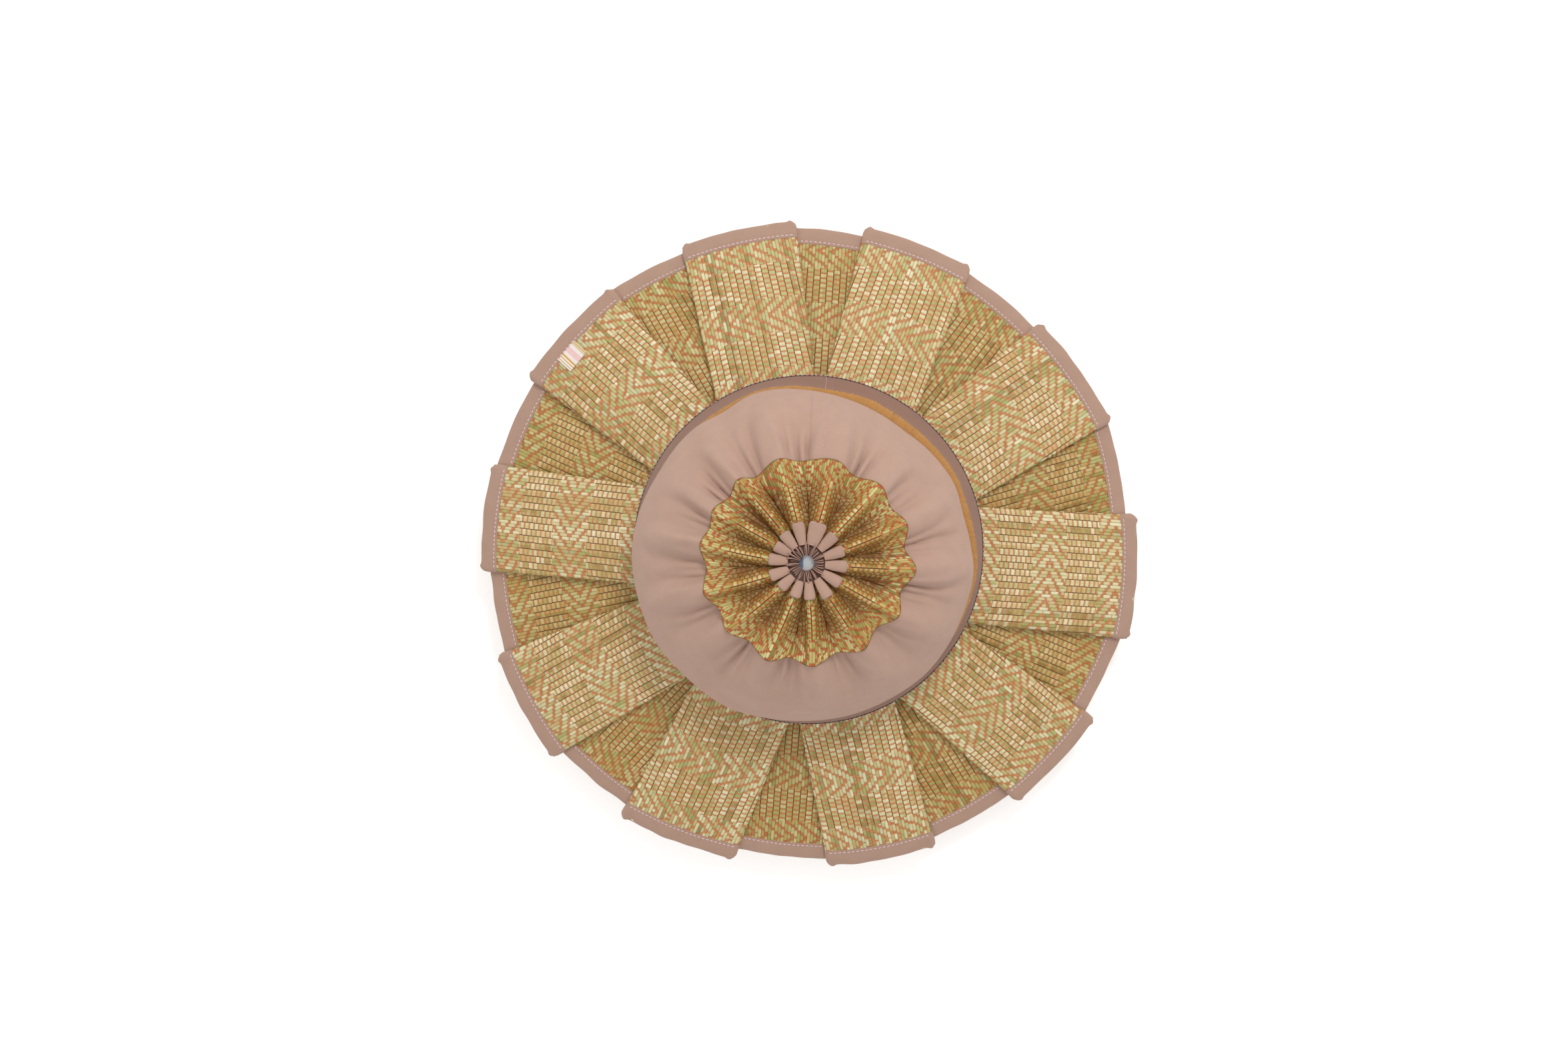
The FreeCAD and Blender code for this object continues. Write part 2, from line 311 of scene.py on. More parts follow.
class Leaf:
    """One panel of the brim between two folds, in its own frame: q runs along the mat across the
    panel, v down from the mat's outer edge, n off the mat's middle."""

    def __init__(self, az, rim_start, rim_end, start, end, raised, seed):
        self.az, self.raised, self.seed = math.radians(az), raised, seed
        self.rim = 0.5 * (rim_start + rim_end) - 1.0
        self.v_end = (self.rim - SEAM_R) / COS
        self.v_knots, self.sides = None, []
        for az_in, az_out in (start, end):
            a, b = unit(az_in) * FOLD_IN_R, unit(az_out) * FOLD_OUT_R
            tau = np.linspace(-0.3, 1.3, 90)[:, None]
            line = a + (b - a) * tau
            r = np.hypot(line[:, 0], line[:, 1])
            x = -line[:, 0] * math.sin(self.az) + line[:, 1] * math.cos(self.az)
            v = (self.rim - r) / COS
            order = np.argsort(v)
            self.sides.append((v[order], x[order]))
        half = max(self.side(1, 0.0) - self.side(0, 0.0), 1.0) / 2
        self.tilt = (rim_end - rim_start) / (2 * half)

    def side(self, which, v):
        knots, x = self.sides[which]
        return np.interp(v, knots, x)

    def point(self, q, v, n):
        """Position of mat point (q, v) moved n along the mat's normal."""
        q, v, n = np.broadcast_arrays(*(np.asarray(m, float) for m in (q, v, n)))
        depth = np.clip(v / self.v_end, 0, 1)
        xs, xe = self.side(0, v), self.side(1, v)
        if self.raised:
            rho = FOLD_RIM + (FOLD_SEAM - FOLD_RIM) * depth
            inset = rho + MAT_T / 2
            left, right = xs + inset, xe - inset
            over_r, over_l = np.maximum(q - right, 0), np.maximum(left - q, 0)
            a_r, a_l = np.minimum(over_r / rho, math.pi), np.minimum(over_l / rho, math.pi)
            rest_r, rest_l = over_r - a_r * rho, over_l - a_l * rho
            x = np.clip(q, left, right) + rho * (np.sin(a_r) - np.sin(a_l)) - rest_r + rest_l
            h = RAISED_H - rho * (2 - np.cos(a_r) - np.cos(a_l))
            nx, nh = np.sin(a_r) - np.sin(a_l), np.cos(a_r) * np.cos(a_l)
            middle = 0.5 * (xs + xe)
            width = np.maximum(0.5 * (xe - xs), 1)
            h = h + 0.55 * (1 - np.clip((x - middle) / width, -1, 1) ** 2) * smooth(depth * 3)
            h = h + 0.35 * soft_noise(x / 9, v / 16, self.seed)
        else:
            x, nx, nh = q, np.zeros_like(q), np.ones_like(q)
            h = RECESS_H + 0.22 * soft_noise(x / 8, v / 14, self.seed)
            outer = smooth((30 - v) / 24)
            h = h + outer * 1.1 * (smooth((x - xe + 7) / 7) + smooth((xs + 7 - x) / 7))
        curve = 0.8 + 0.2 * depth
        reach = self.rim - v * COS + self.tilt * x * (1 - depth)
        d = np.sqrt(np.maximum(reach ** 2 - curve * x ** 2, 1))
        r = np.hypot(d, x)
        az = self.az + np.arctan2(x, d)
        out = np.stack([np.cos(az), np.sin(az), np.zeros_like(az)], -1)
        tangent = np.stack([-np.sin(az), np.cos(az), np.zeros_like(az)], -1)
        up = np.array([0, 0, 1.0])
        normal = out * SIN + up * COS
        base = out * r[..., None] + up * (cone_z(r) + h)[..., None]
        return base + normal * (nh * n)[..., None] + tangent * (nx * n)[..., None]

    def q_range(self):
        v = np.linspace(0, self.v_end, 40)
        if self.raised:
            spare = math.pi * FOLD_RIM - FOLD_RIM - MAT_T / 2 + 2.6
            low, high = self.side(0, v).min() - spare, self.side(1, v).max() + spare
        else:
            low, high = self.side(0, v).min() - 3.0, self.side(1, v).max() + 3.0
        step = REED / 3
        return np.arange(math.floor(low / step), math.ceil(high / step) + 1) * step


def mat_panel(leaf, number):
    q = leaf.q_range()
    v = np.append(np.arange(0, leaf.v_end - 0.3, THREAD / 2), leaf.v_end)
    Q, V = np.meshgrid(q, v)
    u_uv = Q / REED + 40 * number + 80
    v_uv = V / THREAD + BRIM_PHASE
    relief = weave_relief(u_uv, v_uv)
    top = leaf.point(Q, V, MAT_T / 2 + relief)
    bottom = leaf.point(Q, V, -MAT_T / 2)
    return sheet_mesh(top, bottom, np.stack([u_uv, v_uv], -1))


def rim_tape(leaf):
    """Cotton tape folded over the mat's outer edge, with its sewn groove and puckers."""
    q = leaf.q_range()
    t = MAT_T / 2
    # section of the tape's outside: distance from the mat's edge, height off the mat's middle
    outer = np.array([
        (8.35, t + 0.06), (8.15, t + 0.40), (7.5, t + 0.50), (STITCH_V, t + 0.26), (6.3, t + 0.52),
        (4.6, t + 0.62), (2.2, t + 0.62), (0.4, t + 0.55), (-0.6, t + 0.25), (-1.0, 0.0),
        (-0.6, -t - 0.25), (0.4, -t - 0.45), (3.5, -t - 0.45), (6.2, -t - 0.42), (7.6, -t - 0.42),
        (8.35, -t - 0.05),
    ])
    row_v, row_n = outer[:, :1], outer[:, 1:]
    in_v = np.maximum(np.minimum(row_v, 8.2), np.where(np.abs(row_n) > 0.1, -0.12, -0.2))
    in_n = np.clip(row_n, -t - 0.01, t + 0.01)
    side = np.sign(row_n + 0.001)
    free = smooth((6.5 - row_v) / 6.0)
    groove = np.exp(-((row_v - STITCH_V) / 1.6) ** 2) * (row_n > 0)
    pucker = 0.10 * np.sin(q * TAU / STITCH_STEP)[None, :] * groove
    sag = 0.34 * soft_noise(q[None, :] / 3.0, row_v / 3.0, leaf.seed + 50) * free
    edge = 0.28 * soft_noise(q / 4.5, 0 * q, leaf.seed + 70)[None, :] * smooth((3 - row_v) / 4)
    if leaf.raised:
        # the tape stands up a little beside each fold and is turned in at the corner
        a, b = leaf.side(0, 0.0) - 0.2, leaf.side(1, 0.0) + 0.2
        peak = np.exp(-((q - a - 2.8) / 1.5) ** 2) + np.exp(-((q - b + 2.8) / 1.5) ** 2)
        slant = smooth((a + 2.2 - q) / 2.6) + smooth((q - b + 2.2) / 2.6)
        edge = edge + (2.1 * slant - 0.9 * peak)[None, :] * smooth((3.5 - row_v) / 4.5)
    top = leaf.point(q[None, :], row_v + edge, row_n + (pucker + sag) * side)
    bottom = leaf.point(q[None, :], in_v + edge * 0.9, in_n)
    run = np.cumsum(np.hypot(np.diff(outer[:, 0], prepend=8.35), np.diff(outer[:, 1], prepend=0)))
    uv = np.stack(np.broadcast_arrays(q[None, :], run[:, None]), -1)
    return sheet_mesh(top, bottom, uv)


def rim_stitches(leaf):
    margin = 1.8 if leaf.raised else 0.6
    a, b = float(leaf.side(0, STITCH_V)) + margin, float(leaf.side(1, STITCH_V)) - margin
    count = max(int((b - a) / STITCH_STEP), 2)
    q = a + (np.arange(count) + 0.1) * (b - a) / count
    rng = np.random.default_rng(leaf.seed + 9)
    wander = rng.uniform(-0.12, 0.12, count)
    height = MAT_T / 2 + 0.42
    start = leaf.point(q, STITCH_V + wander, height)
    finish = leaf.point(q + STITCH_RUN, STITCH_V - wander * 0.6, height)
    above = leaf.point(q, STITCH_V + wander, height + 1)
    return stitches(start, finish, above - start, radius=0.33, lift=0.16)


# ---- materials -------------------------------------------------------------------------

def rgb(r, g, b):
    """Linear colour of an sRGB colour given from 0 to 255."""
    line = []
    for c in (r, g, b):
        c /= 255
        line.append(c / 12.92 if c <= 0.04045 else ((c + 0.055) / 1.055) ** 2.4)
    return (*line, 1.0)


def operator(name, swapped=False):
    def apply(self, other):
        return self.graph.math(name, *((other, self) if swapped else (self, other)))
    return apply


class Value:
    """Output of a node. Arithmetic on it adds math nodes to its graph."""

    def __init__(self, graph, socket):
        self.graph, self.socket = graph, socket

    __add__ = __radd__ = operator("ADD")
    __mul__ = __rmul__ = operator("MULTIPLY")
    __sub__, __rsub__ = operator("SUBTRACT"), operator("SUBTRACT", True)
    __truediv__, __pow__ = operator("DIVIDE"), operator("POWER")
    __mod__ = operator("FLOORED_MODULO")
    __lt__, __gt__ = operator("LESS_THAN"), operator("GREATER_THAN")

    def __abs__(self):
        return self.graph.math("ABSOLUTE", self)

    def floor(self):
        return self.graph.math("FLOOR", self)

    def clamped(self):
        self.socket.node.use_clamp = True
        return self


class Graph:
    """A principled material and short calls that add nodes to it."""

    def __init__(self, name, roughness=0.8, sheen=0.0, specular=0.3, metallic=0.0):
        self.material = bpy.data.materials.new(name)
        self.material.use_nodes = True
        self.nodes, self.links = self.material.node_tree.nodes, self.material.node_tree.links
        self.nodes.clear()
        out = self.nodes.new("ShaderNodeOutputMaterial")
        self.shader = self.nodes.new("ShaderNodeBsdfPrincipled")
        self.links.new(self.shader.outputs[0], out.inputs[0])
        constants = {"Roughness": roughness, "Sheen Weight": sheen, "Sheen Roughness": 0.5,
                     "Specular IOR Level": specular, "Metallic": metallic}
        for socket, value in constants.items():
            self.shader.inputs[socket].default_value = value

    def put(self, socket, value):
        if isinstance(value, Value):
            self.links.new(value.socket, socket)
        else:
            socket.default_value = value

    def node(self, kind, *inputs):
        """New node with these values or links on its first sockets."""
        node = self.nodes.new("ShaderNode" + kind)
        for socket, value in zip(node.inputs, inputs):
            self.put(socket, value)
        return node

    def math(self, operation, a, b=0.0):
        node = self.node("Math", a, b)
        node.operation = operation
        return Value(self, node.outputs[0])

    def split(self, vector):
        return [Value(self, out) for out in self.node("SeparateXYZ", vector).outputs]

    def uv(self):
        node = self.node("UVMap")
        node.uv_map = "weave"
        return self.split(Value(self, node.outputs[0]))[:2]

    def position(self):
        return Value(self, self.node("TexCoord").outputs["Object"])

    def vector(self, x, y, z=0.0):
        return Value(self, self.node("CombineXYZ", x, y, z).outputs[0])

    def noise(self, vector, scale, detail=2.0, roughness=0.5):
        node = self.node("TexNoise", vector)
        node.inputs["Scale"].default_value = scale
        node.inputs["Detail"].default_value = detail
        node.inputs["Roughness"].default_value = roughness
        return Value(self, node.outputs["Fac"])

    def white(self, x, y, z):
        """A random number of its own for every x, y, z."""
        return Value(self, self.node("TexWhiteNoise", self.vector(x, y, z)).outputs["Value"])

    def mix(self, factor, a, b, blend="MIX"):
        node = self.node("Mix", factor)
        node.data_type, node.blend_type = "RGBA", blend
        self.put(node.inputs[6], a)
        self.put(node.inputs[7], b)
        return Value(self, node.outputs[2])

    def ramp(self, factor, stops, kind="LINEAR"):
        node = self.node("ValToRGB", factor)
        node.color_ramp.interpolation = kind
        points = node.color_ramp.elements
        while len(points) < len(stops):
            points.new(0.5)
        for point, (place, colour) in zip(points, stops):
            point.position = place
        for point, (place, colour) in zip(points, stops):
            point.color = colour
        return Value(self, node.outputs[0])

    def attribute(self, name):
        node = self.node("Attribute")
        node.attribute_name = name
        return Value(self, node.outputs["Fac"])

    def finish(self, colour, height=None, distance=0.0, strength=1.0):
        """Colours the shader and bumps it by the height."""
        self.put(self.shader.inputs["Base Color"], colour)
        if height is not None:
            bump = self.nodes.new("ShaderNodeBump")
            bump.inputs["Strength"].default_value = strength
            bump.inputs["Distance"].default_value = distance
            self.put(bump.inputs["Height"], height)
            self.links.new(bump.outputs[0], self.shader.inputs["Normal"])
        return self.material


def woven_reed(name, thread, thread_dark, reeds, bright, line, stray=0.75, shaded=None):
    """Reeds with orange threads across them: slanted floats in the chevrons, and bricks of reed
    pairs between the chevrons."""
    g = Graph(name, roughness=0.55, specular=0.35)
    u, v = g.uv()
    i = u.floor()
    along = v - 0.5
    w = g.math("PINGPONG", along, PATTERN / 2)
    chevron = w < float(CHEVRON)
    pair = (i * 0.5).floor()
    step = i + w + (g.white(i, 5.0, 6.0) - 0.5) * stray
    brick = pair + along
    # distance from the middle of the thread that shows, in threads
    gap_s = abs(step % 4.0 - 2.5)
    gap_s = g.math("MINIMUM", gap_s, 4.0 - gap_s)
    gap_p = abs(brick % 2.0 - 1.0)

    def choose(slanted, plain):
        return chevron * slanted + (1.0 - chevron) * plain

    loose = 0.42 + g.white(i, v.floor(), 1.0) * 0.30
    gap = choose(gap_s / loose, gap_p / 0.29)
    # every float of reed has its own tone, on top of the reed's own and a slow drift along it
    which = choose(((step - 2.5) * 0.25).floor(), ((brick - 1.0) * 0.5).floor())
    column = choose(i, pair)
    slow = g.noise(g.vector(i * 3.7, v * 0.12), 1.0, 2.0)
    tone = g.white(pair, 3.0, 7.0) * 0.34 + slow * 0.28
    tone = tone + g.white(column, which, 2.0) * 0.18 + g.white(i, 8.0, 1.0) * 0.20
    colour = g.ramp(tone, reeds)
    light = (g.white(column, which, 9.0) - 0.60).clamped()
    colour = g.mix(light * 1.6, colour, bright)
    streak = g.noise(g.vector(u * 7.0, v * 0.30), 1.0, 3.0, 0.6)
    dull = ((0.50 - streak).clamped() * 1.6).clamped()
    colour = g.mix(dull, colour, line)
    # floats are round: painted shade darkens their ends and sides, and a brown line runs between the
    # rows
    near = abs(u - i - 0.5)
    pair_near = abs(g.math("FRACT", u * 0.5) - 0.5)
    ends = choose((2.7 - gap * 1.6).clamped(), (2.2 - gap).clamped())
    sides = choose((near * 2.0) ** 6.0, (pair_near * 2.0) ** 9.0)
    row_line = choose((near > 0.45) * 0.55, (pair_near > 0.442) * 0.95)
    lines = g.math("MAXIMUM", (near > 0.465) * 0.28, row_line)
    dark = g.math("MAXIMUM", ends * choose(0.34, 0.16), sides * 0.55)
    colour = g.mix(g.math("MAXIMUM", dark, lines), colour, line)
    # threads: light along the middle, with painted shade at their sides and where they dive between
    # rows; each float also has a random tone
    two_ply = (g.math("COSINE", gap * TAU) + 1.0) * 0.5
    edge = choose(two_ply, gap ** 2.0)
    shade = (edge * 0.38 + g.white(column, which, 4.0) * 0.40).clamped()
    cord = g.mix(shade, thread, thread_dark)
    dive = choose((near > 0.43) * 0.55, (pair_near > 0.435) * 0.90)
    cord = g.mix(dive, cord, line)
    colour = g.mix(gap < 1.0, colour, cord)
    if shaded:
        # painted shade: darker and browner where the shade attribute is high, in the crown's valleys
        # and along its rim
        painted_shade = g.attribute("shade")
        colour = g.mix(painted_shade * 0.60, colour, shaded[0], "MULTIPLY")
        colour = g.mix(painted_shade ** 2.0 * 0.50, colour, shaded[1])
    height = (1.0 - sides) * 0.6 + streak * 0.3 - ends * 0.3
    return g.finish(colour, height, distance=0.00025, strength=0.8)


def cotton(name, base, warm, pitch=0.75, sheen=0.12, contrast=1.0, shaded=None):
    """Twill cotton: fine diagonal ribs over a faint mottle."""
    g = Graph(name, roughness=0.88, sheen=sheen, specular=0.18)
    u, v = g.uv()
    rib = g.math("SINE", (u + v) * (TAU / pitch)) * 0.5 + 0.5
    yarn = g.math("SINE", v * (TAU / (pitch * 0.62)))
    fibre = g.noise(g.vector(u * 3.2, v * 1.2), 1.0, 3.0, 0.65)
    mottle = g.noise(g.vector(u, v), 0.09, 3.0)
    tone = (rib * (0.30 * contrast) + fibre * 0.55 + mottle * 0.45 + yarn * 0.05).clamped()
    colour = g.mix(tone, warm, base)
    # painted shade: darker towards the shaded colour where the piece's shade attribute is high
    if shaded:
        colour = g.mix(g.attribute("shade"), colour, shaded)
    return g.finish(colour, rib * 0.6 + fibre * 0.5, distance=0.00012, strength=0.6)


def plain_thread(name, light, dark):
    g = Graph(name, roughness=0.7, sheen=0.1, specular=0.25)
    fuzz = g.noise(g.position(), 900.0, 3.0)
    return g.finish(g.mix(fuzz, dark, light), fuzz, distance=0.0001, strength=0.6)


REEDS = [
    (0.24, rgb(152, 132, 76)), (0.36, rgb(170, 168, 102)), (0.45, rgb(202, 168, 114)),
    (0.54, rgb(184, 182, 120)), (0.63, rgb(210, 188, 138)), (0.76, rgb(218, 210, 164)),
]
# the same reeds darker: painted shade of the recessed panels
REEDS_SHADED = [
    (0.24, rgb(140, 116, 56)), (0.36, rgb(158, 152, 80)), (0.45, rgb(190, 150, 88)),
    (0.54, rgb(170, 164, 94)), (0.63, rgb(194, 164, 104)), (0.76, rgb(200, 188, 128)),
]
# the crown's reeds darker and more saturated than the brim's: painted shade of its curved, pleated mat
REEDS_CROWN = [
    (0.24, rgb(134, 102, 42)), (0.36, rgb(154, 142, 70)), (0.45, rgb(190, 144, 76)),
    (0.54, rgb(170, 160, 86)), (0.63, rgb(196, 174, 102)), (0.76, rgb(204, 194, 128)),
]
brim_reed = woven_reed("raised_reed", rgb(208, 140, 88), rgb(162, 90, 46), REEDS,
                       rgb(236, 230, 194), rgb(98, 58, 24))
# recessed panels: threads, light floats and lines darker too, as painted shade
recess_reed = woven_reed("recess_reed", rgb(196, 124, 68), rgb(144, 76, 34), REEDS_SHADED,
                         rgb(210, 200, 146), rgb(76, 44, 14))
# darker threads and lines on the crown are painted shade; shaded gives the colours of the painted shade
# in its valleys
crown_reed = woven_reed("crown_reed", rgb(204, 112, 58), rgb(138, 58, 22), REEDS_CROWN,
                        rgb(226, 216, 158), rgb(76, 40, 12), stray=1.1,
                        shaded=(rgb(190, 150, 92), rgb(72, 42, 10)))
twill = cotton("band_twill", rgb(186, 154, 137), rgb(164, 130, 114))
tape_cotton = cotton("rim_cotton", rgb(180, 148, 130), rgb(158, 126, 110), pitch=0.6, contrast=0.6)
# the stand's cotton is the band's pink cotton darkened: painted shade under the band
stand_cotton = cotton("stand_cotton", rgb(146, 110, 93), rgb(126, 92, 77), pitch=0.6)
sweat_cotton = cotton("sweatband_cotton", rgb(190, 162, 148), rgb(170, 142, 128), pitch=1.0)
rosette_cotton = cotton("rosette_cotton", rgb(186, 152, 134), rgb(162, 128, 112), pitch=0.6)
gather_cotton = cotton("gathered_cotton", rgb(190, 152, 134), rgb(160, 124, 107), pitch=0.6,
                       shaded=rgb(84, 56, 46))
ochre = cotton("ochre_cotton", rgb(188, 138, 82), rgb(154, 104, 54), pitch=1.1, contrast=1.6,
               sheen=0.1)
rim_thread = plain_thread("rim_thread", rgb(232, 208, 206), rgb(206, 176, 176))
seam_thread = plain_thread("seam_thread", rgb(206, 180, 182), rgb(170, 138, 146))
# dark_thread: its short stitches between the light ones stand in for the shaded gaps and needle holes
# of the seam, as painted shade
dark_thread = plain_thread("dark_thread", rgb(112, 78, 82), rgb(84, 56, 62))
band_thread = plain_thread("band_thread", rgb(206, 180, 168), rgb(186, 156, 142))
# the drawn thread's dark slate colour stands in for the shade round the eye disc: painted shade
draw_thread = plain_thread("draw_thread", rgb(66, 66, 84), rgb(40, 40, 56))


# ---- brim ------------------------------------------------------------------------------

def declare(width):
    width * 0.001


def brim_panel(leaf, kind, node, tag, repeat, reed):
    """Mat, rim tape and stitches of one panel. kind and node name the visual and the CAD pieces."""
    body = "brim_%s_%s" % (kind, tag)
    q = leaf.q_range()
    mat = piece("%s_mat_%s" % (kind, tag), mat_panel(leaf, repeat), reed, body,
                ["%s_panel_%s" % (node, tag)])
    tape = piece("%s_tape_%s" % (kind, tag), rim_tape(leaf), tape_cotton, body,
                 ["%s_rim_tape_%s" % (node, tag)])
    piece("%s_stitches_%s" % (kind, tag), rim_stitches(leaf), rim_thread, body)
    declare(leaf.v_end)
    declare(TAPE_WIDTH)


for number, (start_in, end_in, start_out, end_out, rim_a, rim_b) in enumerate(RAISED, start=1):
    tag = "%02d" % number
    mid = (start_in + end_in + start_out + end_out) / 4
    leaf = Leaf(mid, rim_a, rim_b, (start_in, start_out), (end_in, end_out), True, 100 + number)
    brim_panel(leaf, "raised", "raised", tag, number, brim_reed)
    if number == LABEL_PANEL:
        label_leaf = leaf

    after = RAISED[number - 2]
    turn = 360.0 if after[0] < start_in else 0.0
    gap_in, gap_out = after[0] + turn, after[2] + turn
    mid = 0.5 * (end_out + gap_out) * 0.75 + 0.5 * (end_in + gap_in) * 0.25
    rim_a, rim_b = RECESS_RIM[number - 1]
    leaf = Leaf(mid, rim_a, rim_b, (end_in, end_out), (gap_in, gap_out), False, 200 + number)
    brim_panel(leaf, "recess", "recessed", tag, number + 20, recess_reed)


# ---- label -----------------------------------------------------------------------------

def label_ribbon():
    turn = (math.radians(LABEL_AZ) - label_leaf.az + math.pi) % TAU - math.pi
    q = np.linspace(-LABEL_WIDTH / 2, LABEL_WIDTH / 2, 29) + turn * 172.0
    v = np.linspace(7.2, 7.2 + LABEL_RUN, 22)
    Q, V = np.meshgrid(q, v)
    along = (V - v[0]) / (v[-1] - v[0])
    across = (Q - q[0]) / LABEL_WIDTH
    lift = MAT_T / 2 + 0.45 + 0.45 * np.sin(along * math.pi * 0.9) + 0.12 * np.cos(across * 5) * along
    top, bottom = label_leaf.point(Q, V, lift + 0.15), label_leaf.point(Q, V, lift - 0.15)
    return sheet_mesh(top, bottom, np.stack([across * LABEL_WIDTH, along * LABEL_RUN], -1))


def label_material():
    """Plain woven stripes that run the short way across the ribbon."""
    g = Graph("label_weave", roughness=0.7, sheen=0.15, specular=0.25)
    u, v = g.uv()
    cream, white, gold = rgb(222, 204, 160), rgb(236, 226, 218), rgb(206, 164, 84)
    stops = [
        (0.0, cream), (0.05, gold), (0.09, white), (0.12, gold), (0.15, white),
        (0.30, rgb(236, 196, 192)), (0.52, white), (0.66, rgb(210, 158, 70)), (0.73, white),
        (0.79, gold), (0.83, white), (0.90, gold), (0.93, white),
    ]
    colour = g.ramp(u / LABEL_WIDTH, stops, "CONSTANT")
    yarn = g.math("SINE", u * (TAU / 0.28))
    pick = g.math("SINE", v * (TAU / 0.22))
    weave = (yarn * pick + 1.0) * 0.5
    colour = g.mix(weave * 0.16, colour, rgb(150, 130, 110))
    return g.finish(colour, weave, distance=0.00008, strength=0.5)


label = piece("label_ribbon", label_ribbon(), label_material(), "label", ["woven_label"])
declare(LABEL_RUN)


# ---- crown wall ------------------------------------------------------------------------

def ring_points(phi, r, z):
    """Grid of points from azimuths in degrees and grids of radius and height."""
    a = np.radians(phi)[None, :] + 0 * r
    return np.stack([np.cos(a) * r, np.sin(a) * r, z + 0 * r], -1)


def ring_sheet(mid, thickness, uv_rows, uv_length, edge_rows=2):
    """Closed ring of cloth round a grid of its middle surface, with rounded edges."""
    rows, cols = mid.shape[:2]
    normal = grid_normals(mid, wrap=True)
    taper = np.ones(rows)
    for k in range(edge_rows):
        taper[k] = taper[rows - 1 - k] = (0.35, 0.85)[k]
    half = (thickness / 2 * taper)[:, None, None]
    u = np.linspace(0, uv_length, cols + 1)[None, :] + 0 * np.asarray(uv_rows)[:, None]
    uv = np.stack([u, np.asarray(uv_rows)[:, None] + 0 * u], -1)
    return sheet_mesh(mid + normal * half, mid - normal * half, uv, wrap=True)


STAND_FOOT_R, SWEAT_FOOT_R = 94.7, 92.7
STAND_SEAM_AZ = 84.0
BAND_FOOT_Z, BAND_TOP_Z = 63.4, 109.5
BAND_BULGE = 5.6
FOOT_STITCHES, FOOT_R, FOOT_Z = 240, 95.6, 35.8


def stand_lean(z):
    """Share of the way from the stand's foot circle to its uneven top, at heights z."""
    return smooth((z - 33) / 26)


def stand_radius(phi, z):
    top = ring_table(STAND_R, phi)[None, :] - 0.4
    return STAND_FOOT_R - (STAND_FOOT_R - top) * stand_lean(z)


def crown_stand():
    phi = np.arange(360) * 1.0 - 180
    z = np.concatenate([[25.0, 25.3], np.linspace(26.5, 60.0, 20), [60.9, 61.1]])
    a, h = np.radians(phi)[None, :], z[:, None]
    wander = 0.35 * soft_noise(np.cos(a) * 9, h / 9 + np.sin(a) * 9, 5) * stand_lean(h)
    return ring_sheet(ring_points(phi, stand_radius(phi, h) + wander, h), 1.3, z, 597)


def sweatband():
    phi = np.arange(300) * 1.2 - 180
    z = np.concatenate([[25.2, 25.4], np.linspace(26.5, 56.0, 16), [56.8, 57.0]])
    top, h = ring_table(STAND_R, phi)[None, :], z[:, None]
    r = SWEAT_FOOT_R - (STAND_FOOT_R - top) * stand_lean(h)
    r = r + 0.25 * np.sin(np.radians(phi) * 9)[None, :] * smooth((40 - h) / 15)
    return ring_sheet(ring_points(phi, r, h), 1.0, z, 582)


def welt_tape():
    """Ochre tape overcast over the stand's top edge, with its fuzzy loops."""
    phi = np.arange(1080) / 3.0 - 180
    band = ring_table(BAND_R, phi)
    inner = band - 3.4
    outer = np.clip(ring_table(STAND_R, phi) + 0.2, band - 2.2, band + 4.2)
    turn = np.linspace(0, TAU, 19)[:-1]
    middle, half = 0.5 * (inner + outer), 0.5 * (outer - inner)
    rng = np.random.default_rng(3)
    loops = 0.22 * np.sin(np.radians(phi) * 520) + 0.12 * rng.standard_normal(phi.size)
    fray = 0.16 * rng.standard_normal((turn.size, phi.size))
    r = middle[None, :] + np.cos(turn)[:, None] * (half + loops + 0.5)[None, :] + fray
    z = 61.7 + np.sin(turn)[:, None] * (1.15 + loops * 0.6)[None, :] + fray * 0.6
    z = z - 0.10 * (r - inner[None, :])
    return tube_mesh(ring_points(phi, r, z), 580.0, 14.0)


def band_creases():
    """Creases of the band, in fans that start at the valleys of the crown's rim: azimuth, depth,
    half width in degrees, how far out they reach, sideways drift."""
    rng = np.random.default_rng(77)
    rows = []
    for _, _, valley, _ in PLEATS:
        for spread in (-3.8, 0.6, 5.0):
            rows.append((valley + spread * rng.uniform(0.7, 1.3), rng.uniform(0.3, 1.25),
                         rng.uniform(1.35, 2.3), rng.uniform(0.0, 0.5),
                         spread * rng.uniform(0.3, 1.5) + rng.uniform(-3, 3)))
    return rows


def crown_rim(phi):
    """Radius and wave (from -1 in a valley to 1 on a ridge) of the crown mat's rim."""
    knots = []
    for ridge, ridge_r, valley, valley_r in PLEATS:
        knots += [(ridge, ridge_r, 1.0), (valley, valley_r, -1.0)]
    knots = np.array(knots, float)
    a, r, wave = knots[np.argsort(knots[:, 0])].T
    a3 = np.concatenate([a - 360, a, a + 360])
    x = (np.asarray(phi, float) + 180) % 360 - 180
    k = np.clip(np.searchsorted(a3, x, side="right") - 1, 0, len(a3) - 2)
    blend = smooth((x - a3[k]) / (a3[k + 1] - a3[k]))
    r3, wave3 = np.tile(r, 3), np.tile(wave, 3)
    return r3[k] * (1 - blend) + r3[k + 1] * blend, wave3[k] * (1 - blend) + wave3[k + 1] * blend


CREASES = band_creases()


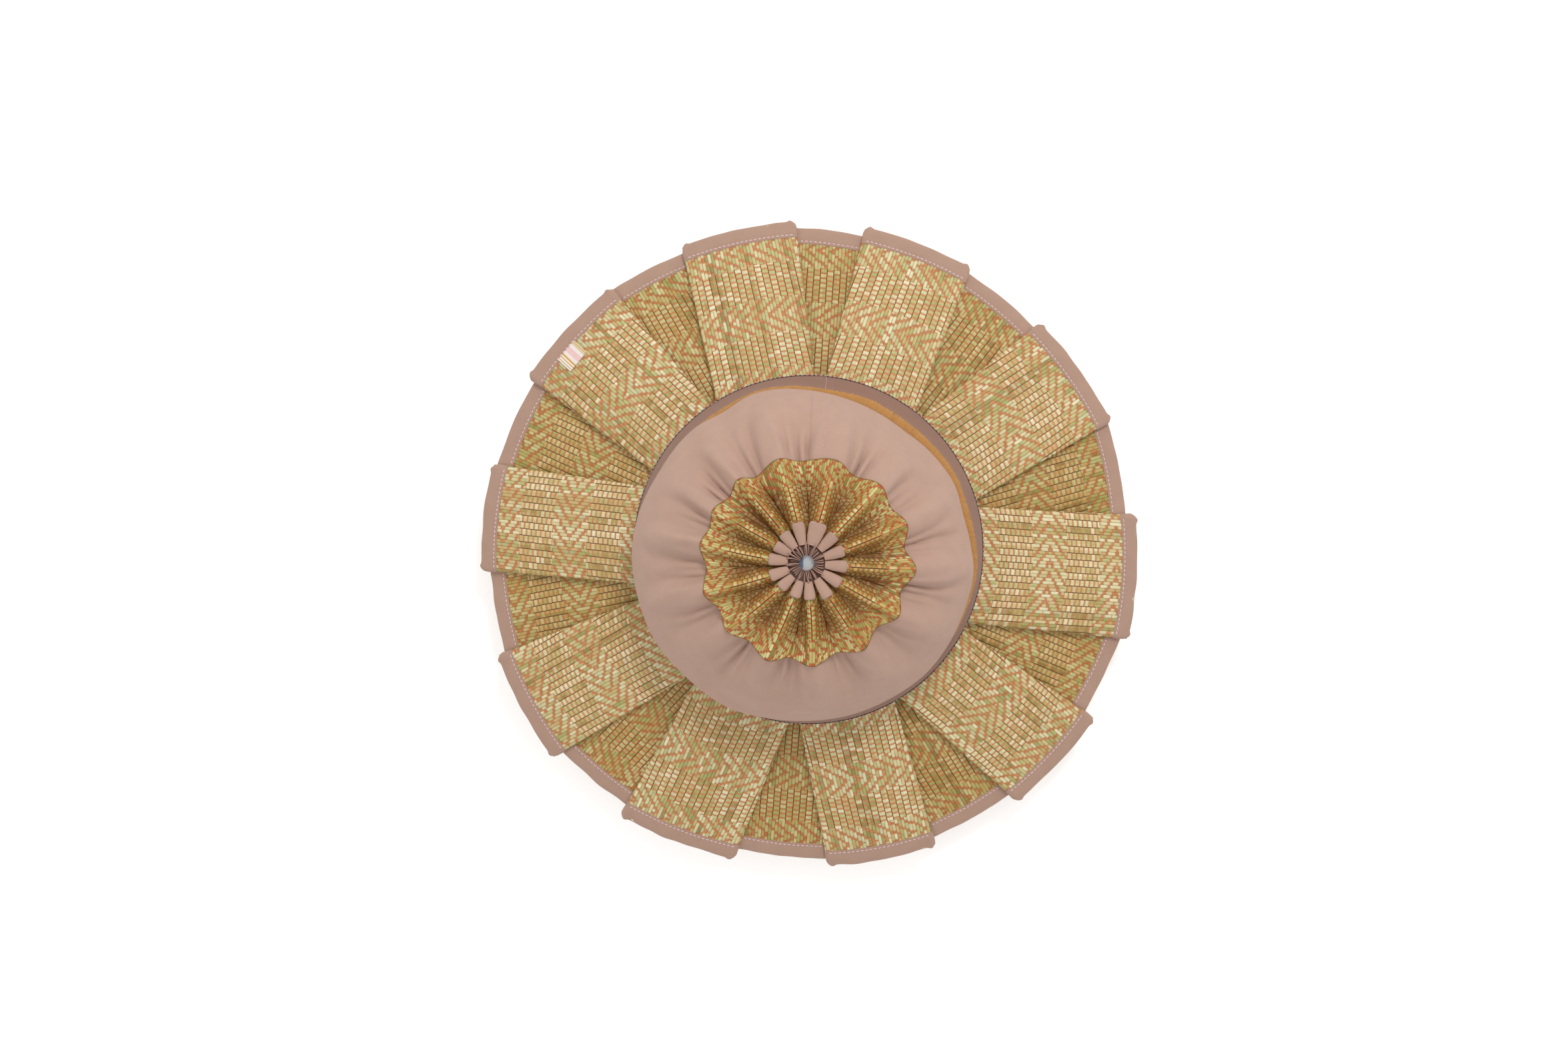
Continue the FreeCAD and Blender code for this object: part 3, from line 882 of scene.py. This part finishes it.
def band_surface(phi, t):
    """Middle surface of the crown band with its folds. t is 0 at its lower edge, 1 at the crown mat."""
    phi = np.asarray(phi, float)[None, :]
    t = np.asarray(t, float)[:, None]
    low = ring_table(BAND_R, phi[0])[None, :] - 0.6
    rim, wave = crown_rim(phi[0])
    top = (rim - 1.3)[None, :]
    z_top = (BAND_TOP_Z + 1.9 * wave)[None, :]
    tc = np.clip(t, 0, 1)
    curl = np.clip(-t, 0, 1)
    tuck = np.clip(t - 1, 0, 1)         # seam allowance turned in under the crown mat
    bulge = BAND_BULGE * 4 * tc * (1 - tc) * (0.72 + 0.28 * tc)
    r = low + (top - low) * tc + bulge - 26 * curl - 70 * tuck
    z = BAND_FOOT_Z + (z_top - BAND_FOOT_Z) * tc ** 0.96 - 4.0 * curl
    bend = soft_noise(np.cos(np.radians(phi)) * 5, np.sin(np.radians(phi)) * 5 + tc * 2.0, 41)
    fold = 1.1 * bend * smooth(tc * 5) * smooth((1 - tc) * 6)
    fold = fold + 1.15 * wave[None, :] * smooth(tc * 1.2) ** 2
    for azimuth, depth, width, reach, drift in CREASES:
        bow = 1.4 * np.sin(tc * 7 + azimuth) * (1 - tc)
        off = (phi - azimuth - drift * (1 - tc) ** 1.3 - bow + 180) % 360 - 180
        size = width * (0.85 + 1.1 * (1 - tc))
        fade = smooth((tc - reach) / (1.0 - reach)) ** 0.7 * (0.55 + 0.45 * smooth((1.02 - tc) * 5))
        groove = np.exp(-(off / size) ** 2) - 0.60 * np.exp(-((off - 1.7 * size) / (1.1 * size)) ** 2)
        groove = groove - 0.40 * np.exp(-((off + 1.9 * size) / (1.3 * size)) ** 2)
        fold = fold - depth * 2.3 * groove * fade
    a = np.radians(phi)
    crumple = soft_noise(np.cos(a) * 30, np.sin(a) * 30 + tc * 3, 43, terms=10)
    fold = fold + 0.30 * crumple * smooth((tc - 0.25) / 0.7)
    step = smooth((phi - 81) / 2.5) * smooth((88.4 - phi) / 0.5)      # the band's overlap
    fold = fold + 0.55 * step * smooth(tc * 6) * smooth((1.02 - tc) * 8)
    lean = math.radians(50)
    return ring_points(phi[0], r + fold * math.cos(lean), z + fold * math.sin(lean))


def crown_band():
    phi = np.arange(900) * 0.4 - 180
    t = np.concatenate([[-0.11, -0.085, -0.05, -0.02], np.linspace(0, 1, 62), [1.02, 1.05, 1.08, 1.10]])
    mid = band_surface(phi, t)
    mid[3, :, 2] -= 0.15
    return ring_sheet(mid, 1.1, np.clip(t, -0.2, 2) * 60, 595)


def band_seam():
    """Stitch line down the band beside its overlap."""
    t = np.linspace(0.03, 0.97, 23)
    rows = band_surface(np.array([81.9, 82.0, 82.1]), t)
    normal = grid_normals(rows)[:, 1]
    normal = normal * np.sign(normal[:, 2:3])
    points = rows[:, 1] + normal * 0.62
    a, b = points[:-1], points[:-1] + (points[1:] - points[:-1]) * 0.72
    return stitches(a, b, normal[:-1], radius=0.2, lift=0.1)


def stand_seam():
    z = np.linspace(38, 58, 9)
    r = stand_radius(np.array([STAND_SEAM_AZ]), z[:, None])[:, 0] + 0.75
    a = math.radians(STAND_SEAM_AZ)
    points = np.stack([math.cos(a) * r, math.sin(a) * r, z], -1)
    up = np.tile([math.cos(a), math.sin(a), 0.0], (8, 1))
    return stitches(points[:-1], points[:-1] + np.diff(points, axis=0) * 0.72, up, radius=0.2, lift=0.1)


def foot_stitches(shift, share):
    """Seam that joins the brim to the stand, just above the mat."""
    a = (np.arange(FOOT_STITCHES) + shift) * TAU / FOOT_STITCHES
    b = a + share * TAU / FOOT_STITCHES

    def ring(x, lift):
        r = FOOT_R + lift
        return np.stack([np.cos(x) * r, np.sin(x) * r, FOOT_Z + 0 * x], -1)

    start, finish = ring(a, 0.0), ring(b, 0.0)
    up = ring(a, 1.0) - start + np.array([0, 0, 1.0])
    return stitches(start, finish, up, radius=0.23, lift=0.12)


stand = piece("stand_cloth", crown_stand(), stand_cotton, "crown_base", ["crown_stand"])
declare(37)
inside = piece("sweatband_cloth", sweatband(), sweat_cotton, "crown_base", ["sweatband"])
declare(32)
welt = piece("welt_cloth", welt_tape(), ochre, "crown_base", ["crown_welt_tape"])
seam = piece("band_seam_stitches", band_seam(), band_thread, "crown_base")
band = piece("band_cloth", crown_band(), twill, "crown_base", ["crown_band"])
declare(60)
piece("stand_seam_stitches", stand_seam(), seam_thread, "crown_base")
piece("foot_stitches_light", foot_stitches(0.0, 0.55), seam_thread, "crown_base")
# dark stitches in the gaps of the light ones: painted shade of the seam's holes
piece("foot_stitches_dark", foot_stitches(0.58, 0.36), dark_thread, "crown_base")


# ---- crown top -------------------------------------------------------------------------

EYE_R = 17.0           # radius where the pleats are tight
CROWN_RUN = 41.8       # length of mat from the rim to there
CROWN_SCALE = 1.25     # reeds look narrower on the crown
RIDGE_Z, RIDGE_RISE = 114.2, 6.8       # ridges at the rim, and their rise to the eye
VALLEY_Z, VALLEY_RISE = 110.0, 5.4
RIDGE_WIDTH = 2.75     # half width of a pleat's round ridge
HALF_COLUMNS = 20      # mesh columns between a ridge and a valley
FLAP_IN_R, FLAP_Z = 9.8, 119.9         # inner radius and height of the rosette's flaps
WIDE_FLAP = 9          # this flap covers the binding's overlap
GATHER_FOLDS = 36
EYE_IN_R = 4.2         # inner radius of the gathered cloth
DRAWN_R, DRAWN_Z, PLY_R = 4.5, 119.0, 0.24


def crown_profile(share):
    """Heights of ridge and valley from the rim (share 0) to the eye (share 1)."""
    inward = np.clip(share, 0, 1)
    ridge = RIDGE_Z + RIDGE_RISE * np.sin(inward * math.pi / 2) ** 0.9
    ridge = ridge - 16.0 * np.clip(share - 0.98, 0, 0.2)
    return ridge, VALLEY_Z + VALLEY_RISE * inward ** 0.9


def crown_mat():
    rows = np.append(np.arange(0, 47.7, THREAD / 3), 48.0)
    count = len(PLEATS)
    ridge_eye = [f[0] for f in FLAPS]
    columns = []
    for k in range(count):
        ridge, ridge_r, valley, valley_r = PLEATS[k]
        before, before_r = PLEATS[k - 1][2], PLEATS[k - 1][3]
        before = before - 360 if k == 0 else before
        eye = ridge_eye[k]
        eye_before = 0.5 * (ridge_eye[k - 1] - (360 if k == 0 else 0) + eye)
        eye_after = 0.5 * (eye + (ridge_eye[k + 1] if k + 1 < count else ridge_eye[0] + 360))
        for p in np.arange(-HALF_COLUMNS, HALF_COLUMNS) / HALF_COLUMNS:
            if p < 0:
                outer = (ridge + p * (ridge - before), ridge_r + (before_r - ridge_r) * smooth(-p))
                inner = eye + p * (eye - eye_before)
            else:
                outer = (ridge + p * (valley - ridge), ridge_r + (valley_r - ridge_r) * smooth(p))
                inner = eye + p * (eye_after - eye)
            columns.append((outer[0], float(outer[1]), inner, p, k))
    outer_az, outer_r, inner_az, phase, pleat = (np.array(c, float) for c in zip(*columns))
    share = (rows / CROWN_RUN)[:, None]
    az = np.radians(outer_az[None, :] * (1 - share) + inner_az[None, :] * share)
    r = outer_r[None, :] * (1 - share) + EYE_R * share
    ridge_z, valley_z = crown_profile(share)
    rng = np.random.default_rng(12)
    lift = rng.uniform(-0.3, 0.3, count)[pleat.astype(int)][None, :]
    sink = rng.uniform(0.85, 1.2, count)[pleat.astype(int)][None, :]
    # a narrow round ridge on broad slopes
    distance = np.abs(phase[None, :]) * r * (math.pi / count)
    tube = np.exp(-(distance / RIDGE_WIDTH) ** 2.4)
    slope = np.clip(1 - np.abs(phase[None, :]), 0, 1) ** 1.1
    mound = 0.42 + 0.20 * smooth(share * 1.6)
    shape = np.where(np.abs(phase[None, :]) < 1, mound * tube + (1 - mound) * slope, 0.0)
    valley_tube = np.exp(-(r * (math.pi / count) / RIDGE_WIDTH) ** 2.4)
    shape = shape - mound * valley_tube * np.abs(phase[None, :]) ** 3
    open_rim = smooth(share / 0.18)
    z = valley_z + (ridge_z - valley_z) * shape - (1 - shape) * 1.4 * (sink - 1) * open_rim * 4
    z = z + lift * shape * open_rim
    # mid-way the valleys fold deep
    z = z - 1.2 * (1 - shape) ** 2 * np.sin(np.clip(share * 1.15, 0, 1) * math.pi)
    mid = np.stack([np.cos(az) * r, np.sin(az) * r, z], -1)
    wide = np.concatenate([mid[:, -1:], mid, mid[:, :1]], 1)
    step = np.linalg.norm(np.diff(wide, axis=1), axis=2)      # step k joins column k-1 and k
    u = np.zeros(mid.shape[:2])
    u_left = np.zeros((mid.shape[0], mid.shape[1] + 1))
    span = 2 * HALF_COLUMNS
    for first in range(0, count * span, span):
        centre, last = first + HALF_COLUMNS, first + span
        u[:, centre + 1:last] = np.cumsum(step[:, centre + 1:last], axis=1)
        u[:, first:centre] = -np.cumsum(step[:, centre:first:-1], axis=1)[:, ::-1]
        u_left[:, first + 1:last] = u[:, first + 1:last]
        u_left[:, last] = u[:, last - 1] + step[:, last]
    offset = 40.0 + 16.0 * pleat
    u_uv = u / REED * CROWN_SCALE + offset[None, :]
    u_left_uv = u_left / REED * CROWN_SCALE + np.append(offset[0], offset)[None, :]
    v_uv = (rows / THREAD + CROWN_PHASE)[:, None]
    relief = weave_relief(u_uv, v_uv + 0 * u_uv) * 0.85
    normal = grid_normals(mid, wrap=True)
    normal *= np.sign(normal[..., 2:3])
    edge = np.ones(len(rows))
    edge[0], edge[1] = 0.5, 0.9
    top = mid + normal * ((MAT_T / 2 + relief) * edge[:, None])[..., None]
    bottom = mid - normal * (edge[:, None, None] * MAT_T / 2)
    closed_u = np.concatenate([u_uv, u_uv[:, :1]], 1)
    uv, uv_left = (np.stack([m, v_uv + 0 * m], -1) for m in (closed_u, u_left_uv))
    # painted shade: darker down in the valleys, more so towards the eye, and a painted shadow along the
    # rim where the band's edge lies over the mat
    painted_shade = np.clip((1 - shape) ** 1.5 * (0.15 + 0.85 * smooth(share / 0.55)), 0, 1)
    painted_shade = np.maximum(painted_shade, 0.9 * smooth((1.1 - rows) / 0.7)[:, None]) + 0 * z
    return sheet_mesh(top, bottom, uv, uv_left, wrap=True), np.tile(painted_shade.ravel(), 2)


def flap_surface(index, s, t):
    """Top of one rounded rosette flap; s runs across from -1 to 1, t outward from 0 to 1."""
    azimuth, outer = FLAPS[index]
    r = FLAP_IN_R + (outer - FLAP_IN_R) * t
    half = np.minimum(0.196 * r, 1.4 + 0.098 * r) * (1.42 if index == WIDE_FLAP else 1.0)
    half = half * np.sqrt(np.clip(1 - np.clip((t - 0.80) / 0.22, 0, 1) ** 2 * 0.55, 0, 1))
    twist = math.radians((PLEATS[index][0] - azimuth) * 0.15)
    a = math.radians(azimuth) + twist * t
    arch = np.sqrt(np.clip(1 - s ** 2, 0, 1))
    front = np.sqrt(np.clip(1 - np.clip((t - 0.9) / 0.11, 0, 1) ** 2, 0, 1))
    z = FLAP_Z + 1.2 * t + (1.1 + 1.3 * t) * arch * (0.35 + 0.65 * front)
    x = s * half
    return np.stack([np.cos(a) * r - np.sin(a) * x, np.sin(a) * r + np.cos(a) * x, z], -1), x, r


def rosette():
    parts = []
    s = np.sin(np.linspace(-1, 1, 17) * math.pi / 2)
    t = np.concatenate([np.linspace(0, 0.86, 16), [0.91, 0.95, 0.98, 1.0]])
    S, T = np.meshgrid(s, t)
    for k in range(len(FLAPS)):
        top, x, r = flap_surface(k, S, T)
        top[..., 2] += 0.12 * soft_noise(x / 1.2, r / 1.6, 300 + k)
        bottom = top.copy()
        bottom[..., 2] = 119.2 + 0.8 * T - 0.5 * (1 - S ** 2)
        parts.append(sheet_mesh(top, bottom, np.stack([x + 30 * k, r], -1)))
    return join(parts)


def rosette_stitches():
    a, b = [], []
    for k in range(len(FLAPS)):
        count = 8 if k == WIDE_FLAP else 6
        s = np.linspace(-0.80, 0.80, count * 2)
        t = 0.955 - 0.10 * s ** 2
        line, _, _ = flap_surface(k, s, t)
        line[:, 2] += 0.16
        a.append(line[0::2])
        b.append(line[1::2])
    a, b = np.concatenate(a), np.concatenate(b)
    return stitches(a, b, np.tile([0, 0, 1.0], (len(a), 1)), radius=0.17, lift=0.10)


def gathered_edge():
    """Crushed cloth inside the flaps: many thin, bent radial folds round the eye."""
    cols, rows = 1008, 22
    phi = np.arange(cols) * 360.0 / cols
    share = np.linspace(0, 1, rows)[:, None]
    rng = np.random.default_rng(21)
    folds = GATHER_FOLDS
    centre = np.sort((np.arange(folds) + rng.uniform(-0.28, 0.28, folds)) * 360 / folds)
    length = rng.uniform(0.55, 1.0, folds)
    tall = rng.uniform(0.6, 1.25, folds)
    hook = rng.uniform(-14, 14, folds)
    r = EYE_IN_R + 7.6 * share + 0 * phi[None, :]
    z = np.full((rows, cols), 118.2) + 1.1 * share
    crest = np.zeros((rows, cols))
    for k in range(folds):
        off = (phi[None, :] - centre[k] - hook[k] * share ** 2 + 180) % 360 - 180
        size = 4.1 * (1 - 0.42 * share)
        fade = smooth((length[k] + 0.12 - share) / 0.25)
        crest = np.maximum(crest, tall[k] * np.exp(-(off / size) ** 2) * fade)
    z = z + crest * (2.6 + 1.1 * share)
    serrate = 0.45 * (1 - crest) * (1 - share) ** 3
    r = r + serrate - 0.35 * crest * (1 - share) ** 2
    a = np.radians(phi)[None, :]
    top = np.stack([np.cos(a) * r, np.sin(a) * r, z], -1)
    bottom = top.copy()
    bottom[..., 2] = 117.7
    u = np.linspace(0, 44, cols + 1)[None, :] + 0 * share
    # painted shade in the crevices between the folds
    shade = np.clip(1 - crest * 1.45, 0, 1) * 0.85
    uv = np.stack([u, share * 6 + 0 * u], -1)
    return sheet_mesh(top, bottom, uv, wrap=True), np.tile(shade.ravel(), 2)


def drawn_thread():
    """Two-ply thread drawn round the eye."""
    turns, n, sides = 26, 520, 8
    phi = np.arange(n) * TAU / n
    out = np.stack([np.cos(phi), np.sin(phi), 0 * phi], -1)
    up = np.array([0, 0, 1.0])
    parts = []
    for ply in (0.0, math.pi):
        twist = phi * turns + ply
        r, z = DRAWN_R + PLY_R * np.cos(twist), DRAWN_Z + PLY_R * np.sin(twist)
        centre = np.stack([np.cos(phi) * r, np.sin(phi) * r, z], -1)
        rings = [centre + (out * math.cos(s) + up * math.sin(s)) * 0.25
                 for s in np.arange(sides) * TAU / sides]
        parts.append(tube_mesh(np.stack(rings, 0)))
    return join(parts)


crown_data, crown_shade = crown_mat()
crown = piece("crown_pleated_mat", crown_data, crown_reed, "crown_top", ["crown_mat"],
              crown_shade)
flaps = piece("rosette_flaps", rosette(), rosette_cotton, "crown_top",
              ["crown_rosette_binding"])
piece("rosette_stitches", rosette_stitches(), seam_thread, "crown_top")
gather_data, gather_shade = gathered_edge()
gather = piece("gathered_cloth", gather_data, gather_cotton, "crown_top",
               ["crown_gathered_edge"], gather_shade)
piece("eye_drawn_thread", drawn_thread(), draw_thread, "crown_top",
      ["crown_drawn_thread"])


def eye_disc_material():
    g = Graph("eye_disc_satin", roughness=0.35, specular=0.5, metallic=0.15)
    wander = g.noise(g.position(), 500.0, 3.0)
    # painted reflection: a dark blue-grey crescent on the disc's -x side, with a ragged edge from noise
    painted_reflection = (g.split(g.position())[0] * -1000.0 + wander * 1.8 - 2.1).clamped()
    colour = g.mix(painted_reflection, rgb(180, 182, 184), rgb(84, 96, 118))
    return g.finish(colour, wander, distance=0.00006, strength=0.4)


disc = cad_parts["crown_eye_disc"]
disc.data.materials.clear()
disc.data.materials.append(eye_disc_material())

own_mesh(band)
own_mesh(seam)


# ---- floor, light and camera -----------------------------------------------------------

FLOOR_Z = -26.0        # below the rim when the brim is turned all the way down
FLOOR_HALF = 3000
FLOOR_GLOW = 0.35
WORLD_GLOW = 0.745
CAMERA_TARGET = Vector((-0.0139, 0.0122, 0.0))
CAMERA_TILT = math.radians(1.0), math.radians(4.25)
CAMERA_DISTANCE = 2.2


def floor():
    """Pale sweep under the hat."""
    n = 24
    X, Y = np.meshgrid(*[np.linspace(-FLOOR_HALF, FLOOR_HALF, n)] * 2)
    points = np.stack([X, Y, np.full_like(X, FLOOR_Z)], -1).reshape(-1, 3) * 0.001
    r, c = index_grid(n - 1, n - 1)
    first = r * n + c
    quads = np.stack([first, first + 1, first + n + 1, first + n], 1)
    mesh = bpy.data.meshes.new("floor")
    mesh.from_pydata(points.tolist(), [], quads.tolist())
    g = Graph("floor_paper", roughness=0.9, specular=0.1)
    g.shader.inputs["Emission Color"].default_value = (1.0, 1.0, 1.0, 1.0)
    g.shader.inputs["Emission Strength"].default_value = FLOOR_GLOW
    grain = g.noise(g.position(), 40.0, 2.0)
    mesh.materials.append(g.finish(g.mix(grain, rgb(252, 252, 252), rgb(255, 255, 255))))
    obj = bpy.data.objects.new("floor", mesh)
    bpy.context.scene.collection.objects.link(obj)


def area_light(name, place, power, size):
    data = bpy.data.lights.new(name, "AREA")
    data.shape, data.size, data.energy = "DISK", size, power
    obj = bpy.data.objects.new(name, data)
    bpy.context.scene.collection.objects.link(obj)
    obj.location = place
    aim = Vector((0, 0, 0.05)) - obj.location
    obj.rotation_euler = aim.to_track_quat("-Z", "Y").to_euler()


floor()
world = bpy.data.worlds.new("studio")
bpy.context.scene.world = world
world.use_nodes = True
sky = world.node_tree.nodes["Background"].inputs
sky[0].default_value = (1.0, 1.0, 1.0, 1.0)
sky[1].default_value = WORLD_GLOW
area_light("key", (0.40, 1.15, 1.8), 19.0, 0.6)
area_light("fill", (-1.1, -0.5, 1.8), 3.0, 1.2)

back = Vector((math.sin(CAMERA_TILT[0]), math.sin(CAMERA_TILT[1]), 0.0))
back.z = math.sqrt(1 - back.x ** 2 - back.y ** 2)
right = Vector((0, 1, 0)).cross(back).normalized()
up = back.cross(right).normalized()
camera_data = bpy.data.cameras.new("camera")
camera_data.sensor_width = 36.0
camera_data.lens = 91.0
camera = bpy.data.objects.new("camera", camera_data)
bpy.context.scene.collection.objects.link(camera)
camera.location = CAMERA_TARGET + back * CAMERA_DISTANCE
camera.rotation_mode = "QUATERNION"
camera.rotation_quaternion = Matrix((right, up, back)).transposed().to_quaternion()
camera_data.clip_start, camera_data.clip_end = 0.05, 20.0
bpy.context.scene.camera = camera
bpy.context.scene.view_settings.view_transform = "Standard"
